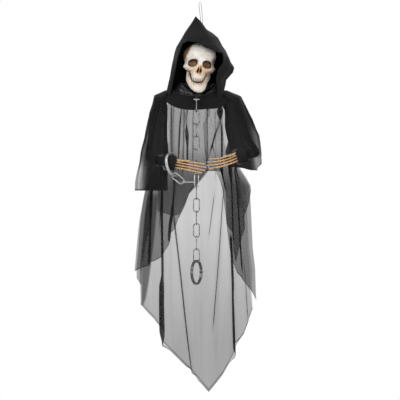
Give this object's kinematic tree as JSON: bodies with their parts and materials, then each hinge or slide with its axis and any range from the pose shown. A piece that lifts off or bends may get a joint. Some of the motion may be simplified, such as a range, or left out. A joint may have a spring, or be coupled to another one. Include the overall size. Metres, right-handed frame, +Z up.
{
  "type": "skull ghost figure",
  "caption": "Hanging hooded skeleton figure with a hinged jaw, sheer hooded robe, bony hands, and an interlinked chain with hinged shackles.",
  "frame": {"origin": "top of the wire hanging loop, where a ceiling hook bears", "axes": "+Z up, -Y is the front where the face looks, +X is the viewer's right"},
  "size_m": [0.5184, 0.3104, 1.5534],
  "materials": {
    "steel": "drawn wire and turned pins",
    "bone": "moulded, cream with a brown antique wash",
    "hand_bone": "moulded, tan with a dark brown wash in the gaps",
    "black_plastic": "moulded, matte black",
    "black_cloth": "opaque black knit",
    "satin": "gathered black satin with a soft sheen",
    "sheer_cloth": "see-through black voile, raw scissor-cut hem",
    "chain": "silver-grey metallised plastic"
  },
  "bodies": {
    "figure": {"collar_link": "chain", "collar_tab": "black_cloth", "middle_link": "chain", "cuff_shackle_frame": "chain", "cuff_shackle_pin": "steel", "skull_face": "bone", "skull_back": "bone", "jaw_pin_left": "steel", "jaw_pin_right": "steel", "crown_plug": "black_plastic", "hanging_loop": "steel", "neck_post": "black_plastic", "shoulder_hanger": "black_plastic", "arm_left": "black_cloth", "hand_left": "hand_bone", "cuff_left": "black_cloth", "arm_right": "black_cloth", "hand_right": "hand_bone", "cuff_right": "black_cloth", "gown_front": "sheer_cloth", "gown_back": "sheer_cloth", "robe_front_left": "sheer_cloth", "robe_front_right": "sheer_cloth", "robe_back": "sheer_cloth", "yoke": "black_cloth", "neck_scarf": "satin", "hood": "black_cloth", "sleeve_left": "sheer_cloth", "sleeve_right": "sheer_cloth"},
    "jaw": {"jaw": "bone"},
    "upper_link_1": {"upper_link_1": "chain"},
    "upper_link_2": {"upper_link_2": "chain"},
    "upper_link_3": {"upper_link_3": "chain"},
    "upper_link_4": {"upper_link_4": "chain"},
    "upper_link_5": {"upper_link_5": "chain"},
    "upper_link_6": {"upper_link_6": "chain"},
    "drop_link_1": {"drop_link_1": "chain"},
    "drop_link_2": {"drop_link_2": "chain"},
    "drop_link_3": {"drop_link_3": "chain"},
    "drop_link_4": {"drop_link_4": "chain"},
    "drop_link_5": {"drop_link_5": "chain"},
    "drop_link_6": {"drop_link_6": "chain"},
    "drop_ring": {"drop_shackle_frame": "chain", "drop_shackle_pin": "steel"},
    "drop_gate": {"drop_shackle_gate": "chain"},
    "cuff_gate": {"cuff_shackle_gate": "chain"},
    "wrist_chain": {"wrist_link_1": "chain", "wrist_link_2": "chain"}
  },
  "joints": [
    {"name": "jaw_hinge", "type": "hinge", "parent": "figure", "child": "jaw", "pos_m": [-0.00005, -0.0141, -0.2859], "axis": [0.9962, 0.0522, -0.0698], "range_deg": [0, 11]},
    {"name": "upper_swing_1", "type": "hinge", "parent": "figure", "child": "upper_link_1", "pos_m": [-0.012, -0.13, -0.3931], "axis": [0, 1, 0], "range_deg": [-6, 6]},
    {"name": "upper_swing_2", "type": "hinge", "parent": "upper_link_1", "child": "upper_link_2", "pos_m": [-0.012, -0.13, -0.448], "axis": [0, 1, 0], "range_deg": [-2.02, 2.02]},
    {"name": "upper_swing_3", "type": "hinge", "parent": "upper_link_2", "child": "upper_link_3", "pos_m": [-0.012, -0.13, -0.4931], "axis": [0, 1, 0], "range_deg": [-2.02, 2.02]},
    {"name": "upper_swing_4", "type": "hinge", "parent": "upper_link_3", "child": "upper_link_4", "pos_m": [-0.012, -0.13, -0.548], "axis": [0, 1, 0], "range_deg": [-4.02, 4.02]},
    {"name": "upper_swing_5", "type": "hinge", "parent": "upper_link_4", "child": "upper_link_5", "pos_m": [-0.012, -0.13, -0.5931], "axis": [0, 1, 0], "range_deg": [-2.02, 2.02]},
    {"name": "upper_swing_6", "type": "hinge", "parent": "upper_link_5", "child": "upper_link_6", "pos_m": [-0.012, -0.13, -0.648], "axis": [0, 1, 0], "range_deg": [-2.02, 2.02]},
    {"name": "drop_swing_1", "type": "hinge", "parent": "figure", "child": "drop_link_1", "pos_m": [-0.012, -0.13, -0.7388], "axis": [0, 1, 0], "range_deg": [-16, 16]},
    {"name": "drop_swing_2", "type": "hinge", "parent": "drop_link_1", "child": "drop_link_2", "pos_m": [-0.012, -0.13, -0.7888], "axis": [1, 0, 0], "range_deg": [-14, 0]},
    {"name": "drop_swing_3", "type": "hinge", "parent": "drop_link_2", "child": "drop_link_3", "pos_m": [-0.012, -0.13, -0.8388], "axis": [0, 1, 0], "range_deg": [-16, 16]},
    {"name": "drop_swing_4", "type": "hinge", "parent": "drop_link_3", "child": "drop_link_4", "pos_m": [-0.012, -0.13, -0.8888], "axis": [1, 0, 0], "range_deg": [-14, 0]},
    {"name": "drop_swing_5", "type": "hinge", "parent": "drop_link_4", "child": "drop_link_5", "pos_m": [-0.012, -0.13, -0.9388], "axis": [0, 1, 0], "range_deg": [-16, 16]},
    {"name": "drop_swing_6", "type": "hinge", "parent": "drop_link_5", "child": "drop_link_6", "pos_m": [-0.012, -0.13, -0.9888], "axis": [1, 0, 0], "range_deg": [-14, 0]},
    {"name": "drop_ring_swing", "type": "hinge", "parent": "drop_link_6", "child": "drop_ring", "pos_m": [-0.012, -0.13, -1.03588], "axis": [0.4067, 0.9136, 0], "range_deg": [-20, 20]},
    {"name": "drop_gate_hinge", "type": "hinge", "parent": "drop_ring", "child": "drop_gate", "pos_m": [0.00671, -0.08798, -1.08188], "axis": [0.9136, -0.4067, 0], "range_deg": [0, 60]},
    {"name": "cuff_gate_hinge", "type": "hinge", "parent": "figure", "child": "cuff_gate", "pos_m": [-0.083, -0.10816, -0.656], "axis": [-0.8471, 0.4891, -0.2079], "range_deg": [0, 30]},
    {"name": "wrist_chain_swing", "type": "hinge", "parent": "figure", "child": "wrist_chain", "pos_m": [-0.09771, -0.15278, -0.70099], "axis": [0.9412, 0.1703, -0.2919], "range_deg": [-10, 10]}
  ],
  "couplings": [
    {"joint": "upper_swing_2", "follows": "upper_swing_1", "ratio": -0.33333},
    {"joint": "upper_swing_3", "follows": "upper_swing_1", "ratio": -0.33333},
    {"joint": "upper_swing_4", "follows": "upper_swing_1", "ratio": -0.66667},
    {"joint": "upper_swing_5", "follows": "upper_swing_1", "ratio": -0.33333},
    {"joint": "upper_swing_6", "follows": "upper_swing_1", "ratio": -0.33333}
  ]
}
